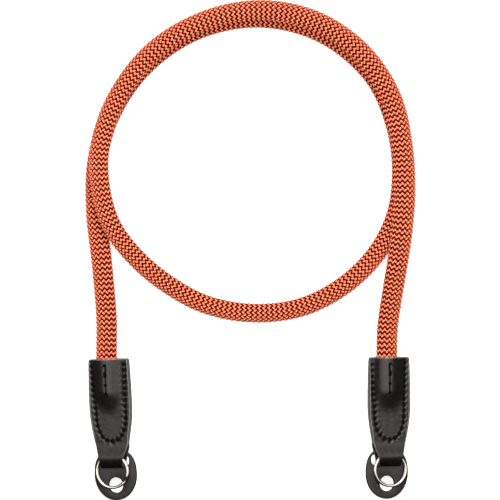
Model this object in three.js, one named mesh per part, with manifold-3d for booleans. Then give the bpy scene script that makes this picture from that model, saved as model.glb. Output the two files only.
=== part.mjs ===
// Rope camera strap. A round braided rope is sewn at each end into a folded leather tab, and each tab
// carries a split ring and a leather guard that keeps the ring off the camera's body.
// It lies on a surface, its rope in one and a half turns. Millimetres, +Z up.
// The origin is on that surface, midway between the two end fittings. +Y points at the loop.
import * as THREE from "three";
import { mergeVertices } from "three/addons/utils/BufferGeometryUtils.js";
import Module from "manifold-3d";

const wasm = await Module();
wasm.setup();

// ---- driving dimensions ----

const ply = 1.4; // one thickness of the tabs' leather
const gap = 0.3; // left between pieces that touch

const rope = { diameter: 10, sides: 12, steps: 78, inside: 17.2 }; // inside: its length in a tab

// Where the rope's centre runs: x, y, z. It starts in the right tab, climbs over its own first turn,
// comes down at the bottom of the loop, passes under itself and ends in the left tab.
const ropeRoute = [
  [68.6, 18.3, 6.42],
  [68.6, 35.5, 6.6],
  [69.1, 51.0, 6.1],
  [71.7, 69.0, 8.0],
  [74.3, 85.5, 11.8],
  [76.3, 101.0, 14.7],
  [77.4, 119.0, 15.4],
  [76.1, 141.0, 15.3],
  [70.5, 165.0, 15.2],
  [56.0, 187.0, 15.0],
  [33.0, 203.0, 14.9],
  [5.5, 208.5, 14.9],
  [-23.0, 202.9, 15.1],
  [-49.0, 187.0, 15.2],
  [-67.5, 161.7, 15.3],
  [-74.4, 139.0, 15.4],
  [-73.8, 119.0, 14.9],
  [-68.6, 101.5, 13.0],
  [-57.8, 86.5, 9.2],
  [-42.0, 72.8, 6.2],
  [-21.5, 61.7, 5.1],
  [2.5, 57.5, 5.1],
  [26.5, 60.6, 5.1],
  [47.5, 71.5, 5.1],
  [63.5, 87.4, 5.1],
  [73.0, 106.0, 5.1],
  [76.0, 128.0, 5.1],
  [72.9, 151.5, 5.1],
  [62.0, 175.8, 5.1],
  [37.5, 196.7, 5.1],
  [6.0, 205.0, 5.1],
  [-26.0, 199.1, 5.1],
  [-52.5, 181.2, 5.1],
  [-69.6, 156.5, 5.1],
  [-76.1, 133.0, 5.1],
  [-76.6, 108.0, 5.1],
  [-73.7, 82.0, 5.1],
  [-71.4, 55.0, 5.6],
  [-71.35, 34.6, 6.6],
  [-70.63, 17.42, 6.42],
];

// A fitting is drawn with its rope along Y, its mouth at the origin and its ring at -Y; lengths
// "along" are measured from the mouth towards the ring. It is then turned and laid in its place.
const tilt = { roll: 17, pitch: 0.6 }; // the edge that faces the other fitting is the higher one
const fittings = [
  { side: "right", mouth: [68.6, 35.5, 6.6], yaw: 0, rollSign: 1, guardX: 0.4, ringX: 1.7, jog: 100 },
  { side: "left", mouth: [-71.35, 34.6, 6.6], yaw: 2.4, rollSign: -1, guardX: 1.9, ringX: 0.8, jog: -30 },
];

// The tab's cross-sections: half its width, how far its two faces stand from the seam's plane, and the
// outer radius of the swelling round the rope.
const tabCentreX = 1; // the rope is sewn in a little off the tab's centre line
const tabSections = [
  { along: 0.0, half: 9.7, front: ply, back: ply, swell: 6.5 },
  { along: 0.4, half: 10.2, front: ply, back: ply, swell: 6.6 },
  { along: 1.3, half: 10.4, front: ply, back: ply, swell: 6.6 },
  { along: 10.0, half: 10.6, front: ply, back: ply, swell: 6.6 },
  { along: 17.6, half: 10.75, front: ply, back: ply, swell: 6.45 },
  { along: 18.8, half: 10.75, front: ply, back: ply, swell: 6 },
  { along: 19.9, half: 10.75, front: ply, back: ply, swell: 5.1 },
  { along: 20.8, half: 10.75, front: ply, back: ply, swell: 4 },
  { along: 21.6, half: 10.75, front: ply, back: ply, swell: 2.9 },
  { along: 22.4, half: 10.7, front: ply, back: ply, swell: 2 },
  { along: 23.6, half: 10.7, front: ply, back: ply, swell: 1.4 },
  { along: 29.5, half: 10.3, front: ply, back: ply, swell: 0 },
  { along: 33.5, half: 9.8, front: ply, back: ply, swell: 0 },
  { along: 37.5, half: 9.1, front: ply, back: ply, swell: 0 },
  { along: 41.5, half: 8.3, front: ply, back: 1.5, swell: 0 },
  { along: 43.2, half: 7.85, front: 1.55, back: 2.6, swell: 0 },
  { along: 44.7, half: 7.4, front: 1.95, back: 3.6, swell: 0 },
  { along: 46.2, half: 6.85, front: 2.85, back: 3.75, swell: 0 },
  { along: 47.8, half: 6.3, front: 3.65, back: 3.75, swell: 0 },
  { along: 49.6, half: 5.8, front: 3.75, back: 3.75, swell: 0 },
];
const fold = { centre: 51, length: 3.2, height: 3.75, half: 5.5, steps: 6, turnDeg: 86.4 }; // lower end
const swellFillet = 2; // radius between the swelling and the flat leather
const edgeBevel = 0.4;
const faceSteps = 6; // points on each side of the middle of a face
const socket = { clearance: 0.35, sides: 24, past: 1 }; // the rope's hole, cut from past the mouth

// The eye runs right through the tab from side to side: the guard's upper band lies in it, and the
// ring's upper arc in front of that.
const eye = {
  outline: [
    { along: 42.6, height: 0 },
    { along: 44.9, height: 0.4 },
    { along: 47.3, height: 2.35 },
    { along: 51.0, height: 2.35 },
  ],
  backOpens: { along: 44.8, height: -2.35 },
  end: 1.8,
  steps: 8,
  reach: 30,
};

const guard = {
  thickness: 1.8,
  back: -2.05, // its camera side, measured from the seam's plane
  half: 11,
  middle: 58,
  up: 12.8,
  down: 12.65,
  upPower: 2.5,
  downPower: 2,
  bevel: 0.3,
  sides: 44,
  slot: { along: 51.85, half: 8.6, tall: 2.95, power: 3.6, sides: 24 },
  hole: { along: 63.2, radius: 3.85, sides: 20 },
};

const splitRing = {
  along: 56.25,
  radius: 8.1, // to the middle of the wire
  wide: 1.3,
  thick: 0.9,
  pitch: 1, // from one turn to the next
  height: 1.05, // of the two turns' middle above the seam's plane
  jogDeg: 20,
  endDeg: 4, // each end of the wire stops this far short of the jog
  sides: 8,
  steps: 60,
};

// ---- materials ----

const ropeCloth = new THREE.MeshStandardMaterial({ color: 0xc85a37, roughness: 0.85, metalness: 0 });
const blackLeather = new THREE.MeshStandardMaterial({ color: 0x211e1e, roughness: 0.5, metalness: 0 });
const nickel = new THREE.MeshStandardMaterial({ color: 0xcfc9c2, roughness: 0.2, metalness: 1 });

// ---- helpers ----

const radians = THREE.MathUtils.degToRad;

function solidOf(geometry) {
  const bare = geometry.clone();
  bare.deleteAttribute("normal");
  bare.deleteAttribute("uv");
  const merged = mergeVertices(bare, 1e-4);
  return new wasm.Manifold(
    new wasm.Mesh({
      numProp: 3,
      vertProperties: merged.attributes.position.array,
      triVerts: new Uint32Array(merged.index.array),
    }),
  );
}

function geometryOf(solid) {
  const mesh = solid.getMesh();
  const geometry = new THREE.BufferGeometry();
  geometry.setAttribute("position", new THREE.BufferAttribute(new Float32Array(mesh.vertProperties), 3));
  geometry.setIndex(new THREE.BufferAttribute(new Uint32Array(mesh.triVerts), 1));
  geometry.computeVertexNormals();
  return geometry;
}

function addMesh(group, name, geometry, material) {
  const mesh = new THREE.Mesh(geometry, material);
  mesh.name = name;
  group.add(mesh);
}

// A closed skin over a row of outlines that all have the same number of points.
function skin(outlines) {
  const count = outlines[0].length;
  const positions = outlines.flat().flatMap((point) => point.toArray());
  const faces = [];
  for (let row = 0; row < outlines.length - 1; row++) {
    for (let i = 0; i < count; i++) {
      const next = (i + 1) % count;
      const [a, b] = [row * count + i, row * count + next];
      const [c, d] = [a + count, b + count];
      faces.push(a, b, c, b, d, c);
    }
  }
  for (const [row, turn] of [[0, -1], [outlines.length - 1, 1]]) {
    const middle = positions.length / 3;
    const sum = new THREE.Vector3();
    outlines[row].forEach((point) => sum.add(point));
    positions.push(...sum.divideScalar(count).toArray());
    for (let i = 0; i < count; i++) {
      const [a, b] = [row * count + i, row * count + ((i + 1) % count)];
      faces.push(middle, ...(turn > 0 ? [a, b] : [b, a]));
    }
  }
  const geometry = new THREE.BufferGeometry();
  geometry.setAttribute("position", new THREE.Float32BufferAttribute(positions, 3));
  geometry.setIndex(faces);
  return geometry;
}

// Points round an oval whose upper and lower halves may differ: |x/half|^p + |y/tall|^p = 1.
function ovalPoints({ half, up, down, upPower, downPower }, count) {
  const points = [];
  for (let i = 0; i < count; i++) {
    const turn = (2 * Math.PI * i) / count;
    const [c, s] = [Math.cos(turn), Math.sin(turn)];
    const power = s > 0 ? upPower : downPower;
    const tall = s > 0 ? up : down;
    points.push(
      new THREE.Vector2(
        half * Math.sign(c) * Math.abs(c) ** (2 / power),
        tall * Math.sign(s) * Math.abs(s) ** (2 / power),
      ),
    );
  }
  return points;
}

// ---- rope ----

function ropeGeometry() {
  const points = ropeRoute.map((p) => new THREE.Vector3(...p));
  const path = new THREE.CatmullRomCurve3(points, false, "centripetal");
  const section = new THREE.Shape();
  section.absarc(0, 0, rope.diameter / 2, 0, 2 * Math.PI, false);
  return new THREE.ExtrudeGeometry(section, {
    steps: rope.steps,
    curveSegments: rope.sides / 2,
    extrudePath: path,
  });
}

// ---- tab ----

// How far a face stands from the seam's plane at x: flat leather, a fillet, then the swelling.
function faceHeight(x, flat, swell) {
  if (swell <= flat) return flat;
  const filletX = Math.sqrt((swell + swellFillet) ** 2 - (flat + swellFillet) ** 2);
  const tangentX = (filletX * swell) / (swell + swellFillet);
  const distance = Math.abs(x);
  if (distance >= filletX) return flat;
  if (distance <= tangentX) return Math.sqrt(swell ** 2 - x ** 2);
  return flat + swellFillet - Math.sqrt(swellFillet ** 2 - (filletX - distance) ** 2);
}

// Half an outline, from the tab's +X edge to its -X edge.
function facePoints({ along, half, swell }, flat, sign) {
  const bevel = Math.min(edgeBevel, flat / 2);
  const filletX = Math.sqrt(Math.max((swell + swellFillet) ** 2 - (flat + swellFillet) ** 2, 0));
  const spread = Math.max(swell > flat ? filletX : 0, half / 3);
  const point = (x, z) => new THREE.Vector3(x, -along, sign * z);
  const points = [point(tabCentreX + half, flat - bevel), point(tabCentreX + half - bevel, flat)];
  for (let i = faceSteps; i >= -faceSteps; i--) {
    const x = spread * Math.sin((Math.PI / 2) * (i / faceSteps));
    points.push(point(x, faceHeight(x, flat, swell)));
  }
  points.push(point(tabCentreX - half + bevel, flat), point(tabCentreX - half, flat - bevel));
  return points;
}

function tabOutline(section) {
  const front = facePoints(section, section.front, 1);
  const back = facePoints(section, section.back, -1).reverse();
  return [...front, ...back];
}

function foldSections() {
  const sections = [];
  for (let i = 0; i <= fold.steps; i++) {
    const turn = radians(fold.turnDeg * (i / fold.steps));
    const height = fold.height * Math.cos(turn);
    const along = fold.centre + fold.length * Math.sin(turn);
    sections.push({ along, half: fold.half, front: height, back: height, swell: 0 });
  }
  return sections;
}

function socketGeometry() {
  const radius = rope.diameter / 2 + socket.clearance;
  const depth = rope.inside + gap;
  const profile = [
    [0, -depth],
    [radius, -depth],
    [radius, socket.past],
    [0, socket.past],
  ];
  return new THREE.LatheGeometry(profile.map(([x, y]) => new THREE.Vector2(x, y)), socket.sides);
}

function eyeGeometry() {
  const shape = new THREE.Shape();
  const [start, ...front] = eye.outline;
  shape.moveTo(start.along, start.height);
  front.forEach(({ along, height }) => shape.lineTo(along, height));
  shape.absellipse(fold.centre, 0, eye.end, front.at(-1).height, Math.PI / 2, -Math.PI / 2, true);
  shape.lineTo(eye.backOpens.along, eye.backOpens.height);
  shape.closePath();
  const geometry = new THREE.ExtrudeGeometry(shape, {
    depth: eye.reach,
    bevelEnabled: false,
    curveSegments: eye.steps,
  });
  geometry.translate(0, 0, -eye.reach / 2);
  const axes = new THREE.Matrix4().makeBasis(
    new THREE.Vector3(0, -1, 0),
    new THREE.Vector3(0, 0, 1),
    new THREE.Vector3(-1, 0, 0),
  );
  return geometry.applyMatrix4(axes);
}

function tabGeometry() {
  const body = solidOf(skin([...tabSections, ...foldSections()].map(tabOutline)));
  return geometryOf(body.subtract(solidOf(socketGeometry())).subtract(solidOf(eyeGeometry())));
}

// ---- guard ----

function guardGeometry(centreX) {
  const { slot, hole, bevel } = guard;
  const shape = new THREE.Shape(ovalPoints(guard, guard.sides));
  const { half, tall, power } = slot;
  const slotSize = { half, up: tall, down: tall, upPower: power, downPower: power };
  const slotPoints = ovalPoints(slotSize, slot.sides);
  const lift = new THREE.Vector2(0, guard.middle - slot.along);
  shape.holes.push(new THREE.Path(slotPoints.map((p) => p.add(lift))));
  const round = new THREE.Path();
  round.absarc(0, guard.middle - hole.along, hole.radius, 0, 2 * Math.PI, true);
  shape.holes.push(round);
  const geometry = new THREE.ExtrudeGeometry(shape, {
    depth: guard.thickness - 2 * bevel,
    bevelThickness: bevel,
    bevelSize: bevel,
    bevelOffset: -bevel,
    bevelSegments: 1,
    curveSegments: hole.sides / 2,
  });
  return geometry.translate(centreX, -guard.middle, guard.back + bevel);
}

// ---- split ring ----

// Flat wire wound twice round. Each turn lies flat, and a short jog lifts the first onto the second.
class SplitRingCurve extends THREE.Curve {
  constructor(jogAt) {
    super();
    this.jogAt = jogAt;
  }

  getPoint(t, target = new THREE.Vector3()) {
    const halfJog = splitRing.jogDeg / 2;
    const first = halfJog + splitRing.endDeg;
    const degrees = first + t * (720 - 2 * first);
    const climb = THREE.MathUtils.smoothstep(degrees, 360 - halfJog, 360 + halfJog);
    const turn = radians(this.jogAt + degrees);
    return target.set(
      splitRing.radius * Math.cos(turn),
      splitRing.radius * Math.sin(turn),
      splitRing.pitch * (climb - 0.5),
    );
  }
}

function splitRingGeometry(centreX, jogAt) {
  const wire = new THREE.Shape();
  wire.absellipse(0, 0, splitRing.thick / 2, splitRing.wide / 2, 0, 2 * Math.PI, false);
  const geometry = new THREE.ExtrudeGeometry(wire, {
    steps: splitRing.steps,
    curveSegments: splitRing.sides / 2,
    extrudePath: new SplitRingCurve(jogAt),
  });
  return geometry.translate(centreX, -splitRing.along, splitRing.height);
}

// ---- assembly ----

function makeFitting({ side, mouth, yaw, rollSign, guardX, ringX, jog }) {
  const group = new THREE.Group();
  group.position.set(...mouth);
  group.rotation.set(radians(tilt.pitch), radians(rollSign * tilt.roll), radians(yaw), "ZXY");
  addMesh(group, `${side}_tab`, tabGeometry(), blackLeather);
  addMesh(group, `${side}_split_ring`, splitRingGeometry(ringX, jog), nickel);
  addMesh(group, `${side}_guard`, guardGeometry(guardX), blackLeather);
  return group;
}

const strap = new THREE.Group();
addMesh(strap, "rope", ropeGeometry(), ropeCloth);
fittings.forEach((fitting) => strap.add(makeFitting(fitting)));

export default strap;
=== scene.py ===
# A rope camera strap laid in a loose loop: braided rope, sewn leather tabs, leather guards and split rings.
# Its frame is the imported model's: +Z up, the surface it lies on at z = 0, +Y towards the loop.
# The pieces' sizes are in millimetres, and mm turns them into metres.
import math
import random

import bmesh
import bpy
from mathutils import Matrix, Vector, noise
from mathutils.kdtree import KDTree


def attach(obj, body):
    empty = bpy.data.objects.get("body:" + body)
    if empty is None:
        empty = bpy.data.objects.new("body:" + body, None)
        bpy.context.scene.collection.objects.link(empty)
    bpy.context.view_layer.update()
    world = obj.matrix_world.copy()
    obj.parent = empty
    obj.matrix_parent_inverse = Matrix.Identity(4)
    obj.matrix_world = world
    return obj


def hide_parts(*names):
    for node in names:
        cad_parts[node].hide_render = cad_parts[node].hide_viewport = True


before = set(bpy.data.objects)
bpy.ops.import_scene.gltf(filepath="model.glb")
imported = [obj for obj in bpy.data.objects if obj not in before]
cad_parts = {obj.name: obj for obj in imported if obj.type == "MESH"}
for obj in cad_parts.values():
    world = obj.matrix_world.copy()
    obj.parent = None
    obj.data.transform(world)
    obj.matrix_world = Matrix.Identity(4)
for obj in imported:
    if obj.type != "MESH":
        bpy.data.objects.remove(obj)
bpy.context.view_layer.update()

mm = 0.001
print("frame loaded")


# An output socket of a material's nodes. Arithmetic on it adds Math nodes.
class Wire:
    def __init__(self, finish, socket):
        self.finish = finish
        self.socket = socket

    def __add__(self, other):
        return self.finish.maths("ADD", self, other)

    def __radd__(self, other):
        return self.finish.maths("ADD", other, self)

    def __sub__(self, other):
        return self.finish.maths("SUBTRACT", self, other)

    def __rsub__(self, other):
        return self.finish.maths("SUBTRACT", other, self)

    def __mul__(self, other):
        return self.finish.maths("MULTIPLY", self, other)

    def __rmul__(self, other):
        return self.finish.maths("MULTIPLY", other, self)

    def __abs__(self):
        return self.finish.maths("ABSOLUTE", self)


# A material with a Principled shader, and the nodes that feed it.
class Finish:
    def __init__(self, name, **constants):
        self.material = bpy.data.materials.new(name)
        self.material.use_nodes = True
        self.tree = self.material.node_tree
        self.shader = self.tree.nodes["Principled BSDF"]
        self.drive(**constants)

    # Any node: its type, its settings, then the values or wires of its sockets.
    def node(self, kind, settings=None, output=0, **sockets):
        made = self.tree.nodes.new(kind)
        for name, value in (settings or {}).items():
            if name == "stops":
                self.setStops(made.color_ramp, value)
            else:
                setattr(made, name, value)
        for name, value in sockets.items():
            socket = next(s for s in made.inputs if name in (s.identifier, s.name.replace(" ", "_")))
            self.feed(socket, value)
        return Wire(self, made.outputs[output])

    def setStops(self, ramp, stops):
        while len(ramp.elements) < len(stops):
            ramp.elements.new(1)
        for element, (position, colour) in zip(ramp.elements, stops):
            element.position = position
            element.color = colour

    def feed(self, socket, value):
        if isinstance(value, Wire):
            self.tree.links.new(value.socket, socket)
        else:
            socket.default_value = value

    def drive(self, **sockets):
        for name, value in sockets.items():
            self.feed(self.shader.inputs[name.replace("_", " ")], value)
        return self.material

    def maths(self, operation, *values):
        sockets = dict(zip(("Value", "Value_001"), values))
        return self.node("ShaderNodeMath", {"operation": operation}, **sockets)

    # 0 where the value is at none or beyond it, 1 from full on, and even between them.
    def between(self, value, none, full):
        return self.node("ShaderNodeMapRange", Value=value, From_Min=none, From_Max=full)

    def blend(self, amount, first, second):
        settings = {"data_type": "RGBA"}
        return self.node("ShaderNodeMix", settings, 2, Factor_Float=amount, A_Color=first, B_Color=second)

    def attribute(self, name):
        return self.node("ShaderNodeAttribute", {"attribute_name": name}, "Fac")

    def place(self):
        return self.node("ShaderNodeTexCoord", output="Object")

    def noise(self, scale, detail, roughness=0.5):
        sockets = {"Scale": scale, "Detail": detail, "Roughness": roughness}
        return self.node("ShaderNodeTexNoise", Vector=self.place(), **sockets)

    def bump(self, height, distance, strength):
        return self.node("ShaderNodeBump", Height=height, Distance=distance, Strength=strength)

    # Lays another shader over this material's own, by the amount.
    def cover(self, amount, other):
        own = Wire(self, self.shader.outputs[0])
        mixed = self.node("ShaderNodeMixShader", Fac=amount, Shader=own, Shader_001=other)
        self.feed(self.tree.nodes["Material Output"].inputs["Surface"], mixed)


def meshFrom(name, bm):
    mesh = bpy.data.meshes.new(name)
    bm.to_mesh(mesh)
    bm.free()
    return mesh


def pieceFrom(mesh, material):
    piece = bpy.data.objects.new(mesh.name, mesh)
    bpy.context.scene.collection.objects.link(piece)
    mesh.materials.append(material)
    mesh.shade_smooth()
    return piece


def finishPiece(piece, node=None):
    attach(piece, "root")
    if node:
        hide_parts(node)


camera = {
    "centre": (0.3, 89.0),
    "height": 2000.0,
    "field": 250.0,  # how much it takes in, from side to side
    "focusHeight": 5.0,  # the height above the ground at which it takes that in
    "sensor": 36.0,
    "farthest": 10000.0,
}


def makeCamera():
    data = bpy.data.cameras.new("camera")
    data.sensor_width = camera["sensor"]
    data.lens = camera["sensor"] * (camera["height"] - camera["focusHeight"]) / camera["field"]
    data.clip_end = camera["farthest"] * mm
    eye = bpy.data.objects.new("camera", data)
    eye.location = Vector((*camera["centre"], camera["height"])) * mm
    bpy.context.scene.collection.objects.link(eye)
    bpy.context.scene.camera = eye


# In metres and watts.
studio = {
    "floor": 6.0,
    "floorHeight": -0.0002,  # just under the rope
    "paper": (0.9, 0.9, 0.9, 1),
    "paperRoughness": 0.9,
    "paperGlow": 0.65,
    "white": (1, 1, 1, 1),
    "sky": 0.02,
    "lamps": (
        {"name": "highWindow", "size": (0.5, 0.25), "at": (0, 0.95, 1.4), "aim": (0, 0.08, 0), "power": 15.5},
        {"name": "softBox", "size": (0.7, 0.5), "at": (0, 0.14, 0.32), "aim": (0, 0.14, 0), "power": 2.65},
    ),
}


def makeFloor():
    bm = bmesh.new()
    bmesh.ops.create_grid(bm, x_segments=1, y_segments=1, size=studio["floor"] / 2)
    paper = Finish("palePaper", Roughness=studio["paperRoughness"], Emission_Strength=studio["paperGlow"])
    material = paper.drive(Base_Color=studio["paper"], Emission_Color=studio["white"])
    floor = pieceFrom(meshFrom("floor", bm), material)
    floor.location.z = studio["floorHeight"]
    floor.visible_glossy = False  # the paper throws light up at the strap, but isn't mirrored in it


def makeSky():
    world = bpy.data.worlds.new("studio")
    world.use_nodes = True
    background = world.node_tree.nodes["Background"].inputs
    background["Color"].default_value = studio["white"]
    background["Strength"].default_value = studio["sky"]
    bpy.context.scene.world = world


def makeLamp(lamp):
    data = bpy.data.lights.new(lamp["name"], "AREA")
    data.shape = "RECTANGLE"
    data.size, data.size_y = lamp["size"]
    data.energy = lamp["power"]
    light = bpy.data.objects.new(lamp["name"], data)
    light.location = lamp["at"]
    light.rotation_euler = (Vector(lamp["aim"]) - Vector(lamp["at"])).to_track_quat("-Z", "Y").to_euler()
    bpy.context.scene.collection.objects.link(light)


makeCamera()
makeFloor()
makeSky()
for lamp in studio["lamps"]:
    makeLamp(lamp)
bpy.context.scene.view_settings.view_transform = "Standard"
print("camera and studio ready")


# Where the rope's centre runs: from inside the right tab, up onto its own second turn and once round on
# top of it, down inside it at the left, along the bottom, then round again under the first turn and into
# the left tab.
ropeRoute = (
    (68.6, 18.3, 6.42),
    (68.6, 35.5, 6.6),
    (69.1, 51.0, 6.1),
    (71.7, 69.0, 8.0),
    (74.3, 85.5, 11.8),
    (76.3, 101.0, 14.7),
    (77.4, 119.0, 15.4),
    (76.1, 141.0, 15.3),
    (70.5, 165.0, 15.2),
    (56.0, 187.0, 15.0),
    (33.0, 203.0, 14.9),
    (5.5, 208.5, 14.9),
    (-23.0, 202.9, 15.1),
    (-49.0, 187.0, 15.2),
    (-67.5, 161.7, 15.3),
    (-74.4, 139.0, 15.4),
    (-73.8, 119.0, 14.9),
    (-68.6, 101.5, 13.0),
    (-57.8, 86.5, 9.2),
    (-42.0, 72.8, 6.2),
    (-21.5, 61.7, 5.1),
    (2.5, 57.5, 5.1),
    (26.5, 60.6, 5.1),
    (47.5, 71.5, 5.1),
    (63.5, 87.4, 5.1),
    (73.0, 106.0, 5.1),
    (76.0, 128.0, 5.1),
    (72.9, 151.5, 5.1),
    (62.0, 175.8, 5.1),
    (37.5, 196.7, 5.1),
    (6.0, 205.0, 5.1),
    (-26.0, 199.1, 5.1),
    (-52.5, 181.2, 5.1),
    (-69.6, 156.5, 5.1),
    (-76.1, 133.0, 5.1),
    (-76.6, 108.0, 5.1),
    (-73.7, 82.0, 5.1),
    (-71.4, 55.0, 5.6),
    (-71.35, 34.6, 6.6),
    (-70.63, 17.42, 6.42),
)

rope = {
    "diameter": 10.0,
    "routeSteps": 40,  # from each point of the route to the next, before it is evenly spaced
    "spacing": 2.0,
    "core": 4.25,  # radius of the core, whose dark red is painted shade between the strands
    "coreRoundness": 6,
    "outside": 5.3,  # radius over the strands
    "columns": 24,  # strands, half of them wound each way
    "repeat": 2.56,  # along the rope, from one strand's crossing to the next one's
    "firstRow": 0.75,  # where the braid starts, in repeats from the rope's end
    "lag": 0.35,  # where the strands wound the other way cross, as a share of the repeat
    "strandWidth": 1.35,
    "strandDepth": 0.9,
    "wave": 0.55,  # how far a strand rises and sinks as it passes over and under the others
    "reach": 0.68,  # each end of a visible stretch runs on this share of the way to the next crossing
    "bluntness": 0.3,  # 1 is pointed like an egg, 0 is square
    # where the braid's painted shade gives way to the strands' crests:
    "crestShadeHeights": (1 / 3, 1),  # shares of the strand's height where its crest starts and is full
    "crestShadeEnds": (0.568, 0.341),  # the same, as shares of the way to the next crossing
    "segments": (7, 6),  # round a visible stretch and along it
    "lengths": 5,  # the braid is made in this many joined lengths
    # how full the rope is, by the share of its length: fuller near the tabs than in the loop
    "fullness": (
        (0, 0.98), (0.02, 1.03), (0.12, 1.04), (0.25, 0.98), (0.45, 0.94), (0.6, 0.95), (0.85, 1.0),
        (0.98, 1.03), (1, 0.98),
    ),
}


# Points at an even spacing along the solid's own curve, a centripetal Catmull-Rom one, and its length.
def smoothRoute(points, spacing):
    points = [Vector(p) for p in points]
    ends = [2 * points[0] - points[1], *points, 2 * points[-1] - points[-2]]
    fine = []
    for a, b, c, d in zip(ends, ends[1:], ends[2:], ends[3:]):
        ta = 0.0
        tb = ta + math.sqrt((b - a).length)
        tc = tb + math.sqrt((c - b).length)
        td = tc + math.sqrt((d - c).length)
        for step in range(rope["routeSteps"]):
            t = tb + (tc - tb) * step / rope["routeSteps"]
            ab = a.lerp(b, (t - ta) / (tb - ta))
            bc = b.lerp(c, (t - tb) / (tc - tb))
            cd = c.lerp(d, (t - tc) / (td - tc))
            abc = ab.lerp(bc, (t - ta) / (tc - ta))
            bcd = bc.lerp(cd, (t - tb) / (td - tb))
            fine.append(abc.lerp(bcd, (t - tb) / (tc - tb)))
    fine.append(points[-1])
    along = [0.0]
    for a, b in zip(fine, fine[1:]):
        along.append(along[-1] + (b - a).length)
    count = round(along[-1] / spacing)
    even = []
    at = 0
    for i in range(count + 1):
        wanted = along[-1] * i / count
        while at < len(along) - 2 and along[at + 1] < wanted:
            at += 1
        even.append(fine[at].lerp(fine[at + 1], (wanted - along[at]) / (along[at + 1] - along[at])))
    return even, along[-1]


# Reads a table of (x, y) rows as one smooth curve that has no humps between its rows.
def readTable(table, x):
    def slope(i):
        if i in (0, len(table) - 1):
            return 0.0
        (xa, ya), (xb, yb), (xc, yc) = table[i - 1 : i + 2]
        before = (yb - ya) / (xb - xa)
        after = (yc - yb) / (xc - xb)
        return 0.0 if before * after <= 0 else 2 * before * after / (before + after)

    x = min(max(x, table[0][0]), table[-1][0])
    i = next(i for i in range(len(table) - 1) if x <= table[i + 1][0])
    (x0, y0), (x1, y1) = table[i], table[i + 1]
    t = (x - x0) / (x1 - x0)
    ease = t * t * (3 - 2 * t)
    bend = slope(i) * t * (1 - t) ** 2 - slope(i + 1) * t * t * (1 - t)
    return y0 + (y1 - y0) * ease + (x1 - x0) * bend


# 0 where the value is at none or beyond it, 1 from full on, and even between them.
def between(value, none, full):
    return max(0.0, min(1.0, (value - none) / (full - none)))


def ropeCurve(name, points, radius):
    data = bpy.data.curves.new(name, "CURVE")
    data.dimensions = "3D"
    data.twist_mode = "Z_UP"
    data.bevel_depth = radius * mm
    data.bevel_resolution = rope["coreRoundness"]
    data.use_fill_caps = True
    spline = data.splines.new("POLY")
    spline.points.add(len(points) - 1)
    for i, (place, point) in enumerate(zip(points, spline.points)):
        point.co = (*(place * mm), 1)
        point.radius = readTable(rope["fullness"], i / (len(points) - 1))
    curve = bpy.data.objects.new(name, data)
    bpy.context.scene.collection.objects.link(curve)
    return curve


clothColours = {
    # painted shade, dark red in the channels between the strands, up to the strands' full colour on their
    # crests
    "depth": (
        (0, (0.11, 0.0005, 0.0003, 1)),
        (0.4, (0.32, 0.011, 0.0055, 1)),
        (0.6, (0.8, 0.19, 0.085, 1)),
        (1, (0.92, 0.44, 0.238, 1)),
    ),
    "pinkYarn": (0.95, 0.24, 0.18, 1),
    "pinkShare": 0.35,
    "rustFibre": (0.55, 0.1, 0.035, 1),
    "rustShare": 0.3,
    # the core's colours, painted shade for the gaps between the strands
    "under": (0.07, 0.001, 0.0005, 1),
    "underPatches": (0.13, 0.002, 0.001, 1),
}


def ropeCloth():
    finish = Finish("orangeBraid", Roughness=0.85, Specular_IOR_Level=0.04)
    crest = finish.attribute("crest")
    fibres = finish.noise(scale=2600, detail=2, roughness=0.6)
    pink = crest * finish.attribute("tone") * clothColours["pinkShare"]
    rust = finish.between(fibres, 0.25, 0.875) * clothColours["rustShare"]
    # Painted shade: the braid darkens and reddens from its crests down into the channels and the strands'
    # sunk ends.
    colour = finish.node("ShaderNodeValToRGB", {"stops": clothColours["depth"]}, Fac=crest)
    colour = finish.blend(pink, colour, clothColours["pinkYarn"])
    colour = finish.blend(rust, colour, clothColours["rustFibre"])
    return finish.drive(Base_Color=colour, Normal=finish.bump(fibres, distance=0.08 * mm, strength=0.5))


# The core's dark red is painted shade, standing in for the shadow between the strands.
def ropeShade():
    finish = Finish("paintedShadeUnderBraid", Roughness=0.9, Specular_IOR_Level=0.0)
    patches = finish.noise(scale=900, detail=3)
    return finish.drive(Base_Color=finish.blend(patches, clothColours["under"], clothColours["underPatches"]))


# One visible stretch of a strand: a blunt bar lying on the rope's skin where the strand passes over another.
# Its crest attribute runs from 1 on top to 0 where it sinks between its neighbours, and paints shade into the
# braid's colour there.
def addFloat(bm, crest, turn, along, slope):
    segments, rings = rope["segments"]
    made = bmesh.ops.create_uvsphere(bm, u_segments=segments, v_segments=rings, radius=1)["verts"]
    crossing = rope["repeat"] / 2 / math.cos(slope)
    for vert in made:
        out, side, end = vert.co
        girth = max(math.hypot(out, side), 0.01)  # never zero, for the bar's two tips
        plump = girth ** (rope["bluntness"] - 1)
        out *= plump
        end *= rope["reach"]
        # Painted shade: 0 down the bar's sides and towards its sunk ends.
        vert[crest] = between(out, *rope["crestShadeHeights"]) * between(abs(end), *rope["crestShadeEnds"])
        rise = rope["wave"] * math.cos(math.pi * end)
        across = rope["strandWidth"] / 2 * side * plump
        vert.co = (rope["strandDepth"] / 2 * out + rise, across, crossing * end)
    bmesh.ops.rotate(bm, matrix=Matrix.Rotation(slope, 3, "X"), verts=made)
    middle = rope["outside"] - rope["strandDepth"] / 2 - rope["wave"]
    for vert in made:
        lean = vert.co.y / rope["outside"]
        out = middle + vert.co.x
        vert.co = Vector((vert.co.z + along, out * math.sin(lean + turn), out * math.cos(lean + turn)))


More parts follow.
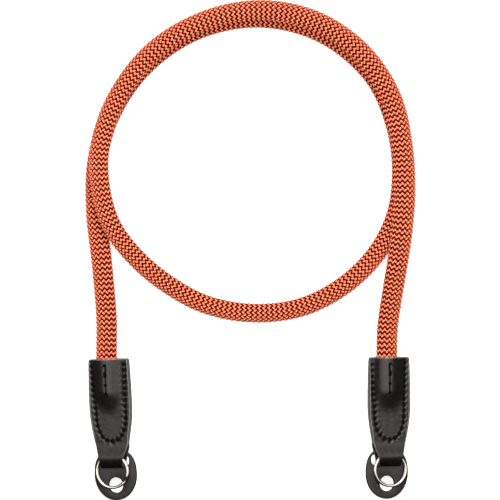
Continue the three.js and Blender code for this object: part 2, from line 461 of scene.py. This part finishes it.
# The floats once round the rope, along X.
def braidRow():
    step = 2 * math.pi / rope["columns"]
    slope = math.atan2(step * rope["outside"], rope["repeat"] / 2)
    bm = bmesh.new()
    crest = bm.verts.layers.float.new("crest")
    for column in range(rope["columns"]):
        if column % 2 == 0:
            addFloat(bm, crest, column * step, 0, slope)
        else:
            addFloat(bm, crest, column * step, rope["repeat"] * rope["lag"], -slope)
    bmesh.ops.recalc_face_normals(bm, faces=bm.faces)
    bmesh.ops.scale(bm, vec=(mm, mm, mm), verts=bm.verts)
    return meshFrom("braidRow", bm)


# Gives each float its own share of the pinker yarn.
def toneFloats(mesh, number):
    draw = random.Random(number - 1)
    segments, rings = rope["segments"]
    perFloat = 2 + segments * (rings - 1)
    tones = []
    for _ in range(len(mesh.vertices) // perFloat):
        tones += [draw.random()] * perFloat
    mesh.attributes.new("tone", "FLOAT", "POINT").data.foreach_set("value", tones)


# The row repeated from the first place to the last, then bent along the guide.
def braidLength(number, row, first, last, guide, material):
    mesh = row.copy()
    mesh.name = f"rope_braid_{number}"
    mesh.transform(Matrix.Translation(((first + rope["firstRow"]) * rope["repeat"] * mm, 0, 0)))
    piece = pieceFrom(mesh, material)
    rows = piece.modifiers.new("rows", "ARRAY")
    rows.use_relative_offset = False
    rows.use_constant_offset = True
    rows.constant_offset_displace = (rope["repeat"] * mm, 0, 0)
    rows.count = last - first
    bend = piece.modifiers.new("bend", "CURVE")
    bend.object = guide
    bend.deform_axis = "POS_X"
    bpy.context.view_layer.update()
    shaped = piece.evaluated_get(bpy.context.evaluated_depsgraph_get())
    piece.data = bpy.data.meshes.new_from_object(shaped)
    piece.modifiers.clear()
    toneFloats(piece.data, number)
    return piece


def makeRope():
    points, length = smoothRoute(ropeRoute, rope["spacing"])
    core = ropeCurve("rope_core", points, rope["core"])
    core.data.materials.append(ropeShade())
    guide = ropeCurve("guide", points, 0)
    row = braidRow()
    cloth = ropeCloth()
    repeats = math.floor(length / rope["repeat"]) - 1
    places = [repeats * part // rope["lengths"] for part in range(rope["lengths"] + 1)]
    for number, (first, last) in enumerate(zip(places, places[1:]), 1):
        piece = braidLength(number, row, first, last, guide, cloth)
        finishPiece(piece)
    bpy.data.objects.remove(guide)
    finishPiece(core, "rope")
    points[0] * mm
    length * mm
    print(f"rope made, {length / 1000:.3f} m long")


makeRope()


# A fitting is made lying flat, its rope along Y with the mouth of its tab at the origin and its ring at
# -Y, then turned and laid in its place. Lengths "along" run from the mouth to the ring.
# yaw, pitch, roll and jog, the place round the ring where its wire climbs, are in degrees. A name that ends
# in X is how far to the side that part sits: the guard, its slot, the swelling, the swelling's end, the
# centre seam and the ring. hook is 1 or -1, the side to which the centre seam's first stitches lean.
fittings = (
    {"side": "right", "mouth": (68.6, 35.5, 6.6), "yaw": 0.0, "pitch": 0.6, "roll": 17, "guardX": 0.4,
     "slotX": -0.25, "swellX": -0.25, "endX": -0.3, "seamX": -0.3, "hook": 1, "ringX": 1.7, "jog": 100},
    {"side": "left", "mouth": (-71.35, 34.6, 6.6), "yaw": 2.4, "pitch": 0.6, "roll": -17, "guardX": 1.9,
     "slotX": 1.7, "swellX": 0.35, "endX": 3.0, "seamX": 0.9, "hook": -1, "ringX": 0.8, "jog": -30},
)


def placeOf(fitting):
    turn = Matrix.Rotation(math.radians(fitting["yaw"]), 4, "Z")
    turn @= Matrix.Rotation(math.radians(fitting["pitch"]), 4, "X")
    turn @= Matrix.Rotation(math.radians(fitting["roll"]), 4, "Y")
    return Matrix.Scale(mm, 4) @ Matrix.Translation(fitting["mouth"]) @ turn


# The mesh of one of a fitting's parts, laid in its place.
def fittingMesh(fitting, part, bm):
    mesh = meshFrom(f"{fitting['side']}_{part}", bm)
    mesh.transform(placeOf(fitting))
    return mesh


leatherLook = {
    "black": (0.0035, 0.003, 0.003, 1),
    "mottled": (0.007, 0.0062, 0.006, 1),
    "dusty": (0.018, 0.016, 0.0155, 1),
    # a light line of wear and painted highlight inside the cut edges
    "wornHighlight": (0.25, 0.234, 0.222, 1),
    # the matt black of the painted shade in the seams and the fold
    "shadeBlack": (0.001, 0.001, 0.001, 1),
    "shine": (1, 0.9, 0.88, 1),
    "wornHighlightLine": {"at": 0.55, "half": 0.3},  # its middle, from a cut edge, and half its width
}


# Leather with a line of wear and painted highlight inside its cut edges ("border"), and painted shade, a matt
# black, in its seams' grooves, needle holes and fold.
def blackLeather():
    finish = Finish("blackLeather", Specular_IOR_Level=0.5, Specular_Tint=leatherLook["shine"])
    mottle = finish.noise(scale=160, detail=3, roughness=0.6)
    grain = finish.noise(scale=1500, detail=4, roughness=0.6)
    cells = {"feature": "DISTANCE_TO_EDGE"}
    pores = finish.node("ShaderNodeTexVoronoi", cells, Vector=finish.place(), Scale=1900)
    dust = finish.between(finish.noise(scale=1100, detail=4, roughness=0.7), 0.475, 0.725)
    line = leatherLook["wornHighlightLine"]
    nearLine = finish.between(abs(finish.attribute("border") - line["at"]), line["half"], 0.0)
    # Wear and painted highlight: a light line inside the cut edges, standing in for the light on their
    # rounding.
    wornHighlight = nearLine * finish.between(finish.noise(scale=700, detail=3), -0.167, 0.667)
    colour = finish.blend(mottle, leatherLook["black"], leatherLook["mottled"])
    colour = finish.blend(dust, colour, leatherLook["dusty"])
    colour = finish.blend(wornHighlight, colour, leatherLook["wornHighlight"])
    roughness = 0.28 + 0.14 * grain + 0.08 * mottle
    bumps = finish.bump(finish.between(pores, 0.0, 0.2) + grain * 0.8, distance=0.035 * mm, strength=0.6)
    # Painted shade: a matt black laid over the seams' grooves, needle holes and fold.
    paintedShadeMatt = finish.node("ShaderNodeBsdfPrincipled", Base_Color=leatherLook["shadeBlack"], Specular_IOR_Level=0.0)
    finish.cover(finish.attribute("soil"), paintedShadeMatt)
    return finish.drive(Base_Color=colour, Roughness=roughness, Normal=bumps)


edgeLook = {"black": (0.015, 0.0135, 0.013, 1), "raw": (0.2, 0.19, 0.18, 1)}


def cutEdge():
    finish = Finish("cutLeatherEdge", Roughness=0.75, Specular_IOR_Level=0.35)
    fibres = finish.noise(scale=1300, detail=4, roughness=0.7)
    colour = finish.blend(finish.between(fibres, 0.292, 0.708), edgeLook["black"], edgeLook["raw"])
    return finish.drive(Base_Color=colour, Normal=finish.bump(fibres, distance=0.15 * mm, strength=0.8))


threadLook = {"black": (0.002, 0.002, 0.002, 1), "twist": (0.005, 0.005, 0.005, 1)}


def blackThread():
    finish = Finish("blackThread", Roughness=0.8, Specular_IOR_Level=0.04)
    twist = finish.node("ShaderNodeTexWave", Vector=finish.place(), Scale=1500, Distortion=1.0)
    colour = finish.blend(twist, threadLook["black"], threadLook["twist"])
    return finish.drive(Base_Color=colour, Normal=finish.bump(twist, distance=0.05 * mm, strength=0.6))


nickelLook = {"bright": (0.67, 0.62, 0.56, 1), "dull": (0.54, 0.48, 0.42, 1)}


def nickelWire():
    finish = Finish("nickel", Metallic=1.0)
    marks = finish.noise(scale=500, detail=3, roughness=0.6)
    colour = finish.blend(marks, nickelLook["bright"], nickelLook["dull"])
    return finish.drive(Base_Color=colour, Roughness=0.24 + 0.08 * marks)


leather = blackLeather()
edgeFinish = cutEdge()
thread = blackThread()
nickel = nickelWire()
print("finishes ready")


# Tables give a size at each length along.
tab = {
    "ply": 1.36,
    "centre": 1.15,  # the rope is sewn in a little off the tab's centre line
    "rows": 360,  # faces from the front's mouth round the fold to the back's
    "columns": 72,  # faces across
    "edgeRounding": 0.34,
    "edgeAngle": 50,  # degrees between two faces that have an edge to round
    "halfWidth": (
        (0, 9.85), (0.8, 10.35), (10, 10.65), (18, 10.85), (23.6, 10.85), (29.5, 10.55), (33.5, 10.05),
        (37.5, 9.4), (41.5, 8.6), (44.7, 7.75), (47.8, 6.75), (51, 6.0), (54.2, 5.75),
    ),
    # how far its faces stand from the middle of its thickness, beside the rope and past it
    "front": (
        (0, 1.4), (39, 1.4), (42.2, 1.25), (43.4, 1.4), (44.7, 1.85), (46.1, 2.5), (47.5, 3.15), (48.7, 3.62),
        (49.4, 3.75), (51, 3.75),
    ),
    "back": ((0, 1.4), (37.5, 1.4), (41.5, 1.5), (43.2, 2.6), (44.7, 3.6), (46.2, 3.75), (51, 3.75)),
    "fold": {"centre": 49.4, "length": 5.25, "height": 3.75, "soil": 0.6},  # a half oval, blackened with painted shade
    "swell": 6.6,  # its radius over the rope
    "foot": (6.75, 9.2),  # how far out the swelling's left and right flanks come down
    "footRounding": 0.5,
    # how much of the swelling there is
    "rise": (
        (0, 0.98), (1, 1), (10, 1), (16.5, 0.98), (17.8, 0.93), (19, 0.83), (20.5, 0.65), (22, 0.46),
        (23.5, 0.3), (25, 0.17), (26.5, 0.085), (28.5, 0.02), (30.5, 0),
    ),
    "roundEnd": 0.05,  # how much sooner the swelling ends away from its farthest point
    # uneven leather: each wave's height, how quickly it changes across and along, and its place in the noise
    "waves": ((0.14, (0.12, 0.09), 0), (0.05, (0.45, 0.4), 5)),
    "wornHighlightFades": {"from": 38.0, "rate": 0.1},  # past this the edge counts as farther off, so its line of wear and painted highlight fades
    "mouthBorder": 0.35,  # the mouth's edge counts as this far off, so that its line of wear and painted highlight is narrow
}

# Fine creases in arcs past the end of the rope, on the front.
creases = {
    "centre": 17.0,
    "squash": 0.8,
    "from": 22.0,
    "radius": 13.0,
    "band": 3.0,  # half the width of what they cover
    "height": 0.025,
    "beat": 2.2,
    "wander": 1.6,
    "wanderScale": (0.25, 0.25),
}

# The seam that joins the front to the back. Its thread goes down one side, round the bottom and up the other.
seam = {
    "centre": ((0, 0.6), (16, 0.75), (28, 1.2)),
    "halfWidth": ((0, 8.75), (8, 8.6), (16, 8.35), (28, 7.75)),
    "start": 1.4,
    "bendsFrom": 28.0,
    "bottom": 41.5,
    "power": 2.2,  # of the oval that its bottom follows
    "steps": (80, 60),  # down a side, and round to the middle of the bottom
    "pitch": 3.0,
    "slant": 14,
    "stitch": (0.62, 0.95, 0.32),  # half its thickness, length and height
    "segments": (8, 6),  # round a stitch and along it
    "stitchDroop": 0.25,  # how far its ends sink
    "stitchSink": 0.45,  # how deep in the groove it lies
    "groove": {
        "depth": 0.6,
        "wide": 0.75,
        "filled": 0.6,  # how much of the depth is missing between two stitches
        "soil": 0.85,  # how far out the painted shade reaches
        "clean": 0.88,  # how much of the painted shade is missing between two stitches
        "fadesBy": 2.0,  # it gets its full depth this far from the mouth
    },
    # the leather's puckers beside the groove: up between two stitches, down beside each stitch
    "pucker": {"height": 0.26, "at": 1.2, "wide": 0.5, "level": 0.35},
}

# The short seam along the rope, which holds the rope's end.
centreSeam = {
    "holes": (3.4, 8.6, 13.1, 17.7),
    # painted shade in the holes, out to the given width, and along the groove, with its strength and width
    "hole": {"depth": 0.45, "wide": 0.5, "soil": 0.9},
    "groove": {"depth": 0.3, "wide": 0.4, "soil": 0.5, "paintedShadeWide": 0.3},
    "raised": 0.5,  # half a stitch's height
    # where each stitch's middle is beside and along the seam, its slant, and half its thickness and length
    "stitches": (
        (-0.5, 5.4, 4, 0.6, 2.4),
        (-0.1, 7.4, -6, 1.1, 1.6),
        (0.35, 2.9, 78, 0.38, 0.95),
        (1.1, 3.9, -12, 0.36, 0.9),
        (0, 10.9, 0, 0.24, 2.3),
        (0, 15.4, 0, 0.24, 2.3),
    ),
}


# The outer seam as points, each with how far along the thread it is.
def seamLine():
    sideSteps, bendSteps = seam["steps"]
    middle = seam["centre"][-1][1]
    half = seam["halfWidth"][-1][1]
    drop = seam["bottom"] - seam["bendsFrom"]
    points = []
    for side in (1, -1):
        run = []
        for i in range(sideSteps + 1):
            along = seam["start"] + (seam["bendsFrom"] - seam["start"]) * i / sideSteps
            run.append((readTable(seam["centre"], along) + side * readTable(seam["halfWidth"], along), along))
        for i in range(1, bendSteps + 1):
            turn = math.pi / 2 * i / bendSteps
            share = math.cos(turn) ** (2 / seam["power"])
            deep = math.sin(turn) ** (2 / seam["power"])
            run.append((middle + side * half * share, seam["bendsFrom"] + drop * deep))
        points += run if side == 1 else run[::-1][1:]
    line = [(Vector((*points[0], 0)), 0.0)]
    for point in points[1:]:
        place = Vector((*point, 0))
        line.append((place, line[-1][1] + (place - line[-1][0]).length))
    return line


seamPoints = seamLine()
seamTree = KDTree(len(seamPoints))
for number, (place, _) in enumerate(seamPoints):
    seamTree.insert(place, number)
seamTree.balance()


# 1 at no distance, less than a half at the width, and soon nothing. A power over 2 gives it a flat top.
def hump(distance, width, power=2):
    return math.exp(-((distance / width) ** power))


def faceNoise(x, along, scale, seed):
    return noise.noise(Vector((x * scale[0], along * scale[1], seed)))


# How the outer seam shapes the leather at x, along, and how much painted shade darkens it there.
def seamRelief(x, along):
    groove, pucker = seam["groove"], seam["pucker"]
    _, number, distance = seamTree.find(Vector((x, along, 0)))
    run = seamPoints[number][1] / seam["pitch"]
    beat = 0.5 + 0.5 * math.cos(2 * math.pi * run)  # 1 between two stitches, 0 at the middle of one
    height = -groove["depth"] * hump(distance, groove["wide"]) * (1 - groove["filled"] * beat)
    height += pucker["height"] * hump(distance - pucker["at"], pucker["wide"]) * (beat - pucker["level"])
    height *= min(1.0, max(0.0, along) / groove["fadesBy"])
    # The second value is painted shade along the groove, strongest at each stitch.
    return height, hump(distance, groove["soil"], 4) * (1 - groove["clean"] * beat)


# The same for the centre seam.
def centreRelief(x, along, fitting):
    groove, hole, holes = centreSeam["groove"], centreSeam["hole"], centreSeam["holes"]
    beside = x - fitting["seamX"]
    off = math.hypot(beside, max(holes[0] - along, along - holes[-1], 0))
    toHole = min(math.hypot(beside, along - place) for place in holes)
    height = -groove["depth"] * hump(off, groove["wide"]) - hole["depth"] * hump(toHole, hole["wide"])
    # The second value is painted shade in the holes and along the groove.
    return height, max(hump(toHole, hole["soil"], 4), groove["soil"] * hump(off, groove["paintedShadeWide"]))


def creaseRelief(x, along, seed):
    reach = math.hypot((x - tab["centre"]) * creases["squash"], along - creases["centre"])
    wander = creases["wander"] * faceNoise(x, along, creases["wanderScale"], seed)
    band = hump(reach - creases["radius"], creases["band"])
    return creases["height"] * band * math.sin(reach * creases["beat"] + wander)


# How far the leather stands above or below its plain shape, and how much painted shade darkens it at the
# seams.
def relief(x, along, isFront, fitting):
    seed = fitting["yaw"]  # any number that is the tab's own
    height, soil = seamRelief(x, along)
    centreHeight, centreShade = centreRelief(x, along, fitting)
    height += centreHeight
    if isFront and along > creases["from"]:
        height += creaseRelief(x, along, seed)
    for high, scale, shift in tab["waves"]:
        height += high * faceNoise(x, along, scale, seed + shift)
    return height, max(soil, centreShade)


# How high the face stands at x, along: round over the rope, then straight down each flank to a rounded foot.
def faceHeight(x, along, isFront, fitting):
    flat = readTable(tab["front" if isFront else "back"], along)
    rise = readTable(tab["rise"], along + tab["roundEnd"] * (x - fitting["endX"]) ** 2)
    if rise == 0:
        return flat
    x -= fitting["swellX"]
    leftFoot, rightFoot = tab["foot"]
    foot = rightFoot if x > 0 else leftFoot
    lean = math.atan2(flat, foot) + math.acos(tab["swell"] / math.hypot(foot, flat))
    before = foot - abs(x)
    if abs(x) <= tab["swell"] * math.cos(lean):
        high = math.sqrt(tab["swell"] ** 2 - x**2) - flat
    elif before >= tab["footRounding"]:
        high = before / math.tan(lean)
    else:
        high = max(before + tab["footRounding"], 0) ** 2 / (4 * tab["footRounding"] * math.tan(lean))
    return flat + rise * high


# A point on the tab's outer face. The run goes from -1 at the front's mouth, round the fold at 0, to 1 at
# the back's mouth, and the share from -1 to 1 across the leather.
def tabPoint(run, share, fitting):
    fold = tab["fold"]
    quarter = math.pi / 4 * (fold["length"] + fold["height"])  # about a quarter of the way round its oval
    distance = abs(run) * (fold["centre"] + quarter)  # from the fold's far end
    isFront = run < 0
    if distance < quarter:
        turn = math.pi / 2 * (1 - distance / quarter)
        along = fold["centre"] + fold["length"] * math.sin(turn)
        x = tab["centre"] + share * readTable(tab["halfWidth"], along)
        height = fold["height"] * math.cos(turn)
        # Painted shade over the fold.
        soil = fold["soil"] * min(1, quarter - distance)
    else:
        along = fold["centre"] + quarter - distance
        x = tab["centre"] + share * readTable(tab["halfWidth"], along)
        raised, soil = relief(x, along, isFront, fitting)
        height = faceHeight(x, along, isFront, fitting) + raised
    return Vector((x, -along, height if isFront else -height)), soil


# One strip of leather, folded over, whose mouth is open for the rope.
def makeTab(fitting):
    bm = bmesh.new()
    bmesh.ops.create_grid(bm, x_segments=tab["columns"], y_segments=tab["rows"], size=1)
    border = bm.verts.layers.float.new("border")
    # A mask of painted shade, for the seams and the fold.
    soil = bm.verts.layers.float.new("soil")
    for vert in bm.verts:
        share, run = vert.co.x, -vert.co.y
        vert.co, vert[soil] = tabPoint(run, share, fitting)
        along = -vert.co.y
        inside = (1 - abs(share)) * readTable(tab["halfWidth"], along)
        inside += max(0.0, along - tab["wornHighlightFades"]["from"]) * tab["wornHighlightFades"]["rate"]
        vert[border] = min(inside, along + tab["mouthBorder"])
    mesh = fittingMesh(fitting, "tab_leather", bm)
    piece = pieceFrom(mesh, leather)
    mesh.materials.append(edgeFinish)
    wall = piece.modifiers.new("ply", "SOLIDIFY")
    wall.thickness = tab["ply"] * mm
    wall.offset = -1
    wall.use_even_offset = True
    wall.material_offset_rim = 1
    rounding = piece.modifiers.new("rounding", "BEVEL")
    rounding.width = tab["edgeRounding"] * mm
    rounding.segments = 2
    rounding.limit_method = "ANGLE"
    rounding.angle_limit = math.radians(tab["edgeAngle"])
    finishPiece(piece, f"{fitting['side']}_tab")


# One stitch on the tab's face at x, along: a short plump bar whose ends sink into its holes.
def addStitch(bm, fitting, x, along, direction, isFront, size):
    thick, length, raised = size
    segments, rings = seam["segments"]
    made = bmesh.ops.create_uvsphere(bm, u_segments=segments, v_segments=rings, radius=1)["verts"]
    for vert in made:
        across, high, end = vert.co
        vert.co = (across * thick, end * length, high * raised - seam["stitchDroop"] * end * end)
    near = 0.2
    left, middle, right = (faceHeight(x + beside, along, isFront, fitting) for beside in (-near, 0, near))
    tip = Matrix.Rotation(-math.atan2(right - left, 2 * near), 4, "Y")
    turn = Matrix.Rotation(direction, 4, "Z")
    place = Matrix.Translation((x, -along, middle - seam["groove"]["depth"] * seam["stitchSink"]))
    flip = Matrix.Identity(4) if isFront else Matrix.Scale(-1, 4, (0, 0, 1))
    bmesh.ops.transform(bm, matrix=flip @ place @ tip @ turn, verts=made)


def makeThread(fitting):
    bm = bmesh.new()
    count = int(seamPoints[-1][1] / seam["pitch"])
    for isFront in (True, False):
        for i in range(count):
            wanted = (i + 0.5) * seam["pitch"]
            number = next(n for n, (_, run) in enumerate(seamPoints) if run >= wanted)
            place = seamPoints[number][0]
            ahead = place - seamPoints[number - 1][0]
            direction = math.atan2(-ahead.y, ahead.x) - math.pi / 2 + math.radians(seam["slant"])
            addStitch(bm, fitting, place.x, place.y, direction, isFront, seam["stitch"])
        for beside, along, slant, thick, length in centreSeam["stitches"]:
            x = fitting["seamX"] + beside * fitting["hook"]
            direction = math.radians(slant) * fitting["hook"]
            addStitch(bm, fitting, x, along, direction, isFront, (thick, length, centreSeam["raised"]))
    bmesh.ops.recalc_face_normals(bm, faces=bm.faces)
    piece = pieceFrom(fittingMesh(fitting, "tab_thread", bm), thread)
    finishPiece(piece)


# The ovals are |x / half|^power + |y / tall|^power = 1, with a height and a power for the upper half and
# for the lower one.
guard = {
    "thickness": 1.8,
    "back": -2.05,  # its camera side, from the middle of the tab's thickness
    "rounding": 0.3,
    "insets": (0.55, 0.6),  # rings of faces inside its rims, for the line of wear and painted highlight there
    "sharpFrom": 28,  # degrees between faces that aren't shaded as one
    "outline": {"along": 58.0, "half": 11.0, "tall": (12.8, 12.9), "power": (2.5, 2.0), "segments": 120},
    "slot": {"along": 51.2, "half": 7.7, "tall": (3.2, 3.2), "power": (3.2, 3.2), "segments": 72},
    "hole": {"along": 63.2, "half": 3.85, "tall": (3.85, 3.85), "power": (2, 2), "segments": 48},
}


cornerAngle = math.radians(60)


# The edges of a closed mesh whose faces meet at a corner.
def cornersOf(bm):
    return [e for e in bm.edges if e.is_manifold and e.calc_face_angle() > cornerAngle]


# A closed ring of edges.
def addOval(bm, x, oval):
    made = bmesh.ops.create_circle(bm, segments=oval["segments"], radius=1)["verts"]
    for vert in made:
        c, s, _ = vert.co
        which = 0 if s > 0 else 1
        power = oval["power"][which]
        across = oval["half"] * math.copysign(abs(c) ** (2 / power), c)
        up = oval["tall"][which] * math.copysign(abs(s) ** (2 / power), s)
        vert.co = (x + across, up - oval["along"], 0)


def makeGuard(fitting):
    bm = bmesh.new()
    addOval(bm, fitting["guardX"], guard["outline"])
    addOval(bm, fitting["slotX"], guard["slot"])
    addOval(bm, fitting["guardX"], guard["hole"])
    bmesh.ops.triangle_fill(bm, use_beauty=True, edges=bm.edges, normal=(0, 0, 1))
    border = bm.verts.layers.float.new("border")
    middle = list(bm.faces)
    for inset in guard["insets"]:
        bmesh.ops.inset_region(bm, faces=middle, thickness=inset, use_even_offset=True)
        for vert in {v for face in middle for v in face.verts}:
            vert[border] += inset
    top = bmesh.ops.extrude_face_region(bm, geom=list(bm.faces))["geom"]
    topVerts = [v for v in top if isinstance(v, bmesh.types.BMVert)]
    bmesh.ops.translate(bm, vec=(0, 0, guard["thickness"]), verts=topVerts)
    bmesh.ops.recalc_face_normals(bm, faces=bm.faces)
    bmesh.ops.bevel(
        bm, geom=cornersOf(bm), offset=guard["rounding"], affect="EDGES", segments=3, profile=0.5,
        material=-1, clamp_overlap=True,
    )
    bmesh.ops.translate(bm, vec=(0, 0, guard["back"]), verts=bm.verts)
    mesh = fittingMesh(fitting, "guard_leather", bm)
    piece = pieceFrom(mesh, leather)
    mesh.set_sharp_from_angle(angle=math.radians(guard["sharpFrom"]))
    finishPiece(piece, f"{fitting['side']}_guard")


splitRing = {
    "along": 56.25,
    "radius": 8.1,  # to the middle of the wire
    "wide": 1.5,
    "thick": 0.9,
    "sides": 12,
    "pitch": 1.0,  # from one turn to the next
    "height": 1.05,  # of the two turns' middle
    "jog": 20,  # degrees over which the wire climbs
    "short": 4,  # each end of the wire stops this many degrees short of the jog
    "steps": {"turn": 84, "jog": 8},
    "endRounding": 0.14,
}


# Flat wire wound twice round, each turn level, with a short jog between them.
def makeRing(fitting):
    bm = bmesh.new()
    wire = bmesh.ops.create_circle(bm, cap_ends=True, segments=splitRing["sides"], radius=0.5)["verts"]
    bmesh.ops.scale(bm, vec=(splitRing["wide"], splitRing["thick"], 1), verts=wire)
    stand = Matrix.Translation((splitRing["radius"], 0, 0)) @ Matrix.Rotation(math.pi / 2, 4, "X")
    bmesh.ops.transform(bm, matrix=stand, verts=wire)
    jog, pitch, steps = splitRing["jog"], splitRing["pitch"], splitRing["steps"]
    first = jog / 2 + splitRing["short"]
    level = 360 - jog / 2 - first
    bmesh.ops.rotate(bm, matrix=Matrix.Rotation(math.radians(first), 3, "Z"), verts=wire)
    end = list(bm.faces) + list(bm.edges) + list(bm.verts)
    turn = (level, 0, steps["turn"])
    for degrees, rise, count in (turn, (jog, pitch, steps["jog"]), turn):
        end = bmesh.ops.spin(
            bm, geom=end, axis=(0, 0, 1), cent=(0, 0, 0), angle=math.radians(degrees), steps=count,
            dvec=(0, 0, rise / count),
        )["geom_last"]
    bmesh.ops.recalc_face_normals(bm, faces=bm.faces)
    bmesh.ops.bevel(
        bm, geom=cornersOf(bm), offset=splitRing["endRounding"], affect="EDGES", segments=2, profile=0.5,
        material=-1,
    )
    bmesh.ops.rotate(bm, matrix=Matrix.Rotation(math.radians(fitting["jog"]), 3, "Z"), verts=bm.verts)
    middle = (fitting["ringX"], -splitRing["along"], splitRing["height"] - pitch / 2)
    bmesh.ops.translate(bm, vec=middle, verts=bm.verts)
    piece = pieceFrom(fittingMesh(fitting, "ring_wire", bm), nickel)
    finishPiece(piece, f"{fitting['side']}_split_ring")


for fitting in fittings:
    makeTab(fitting)
    makeThread(fitting)
    makeGuard(fitting)
    makeRing(fitting)
    print(f"{fitting['side']} fitting made")
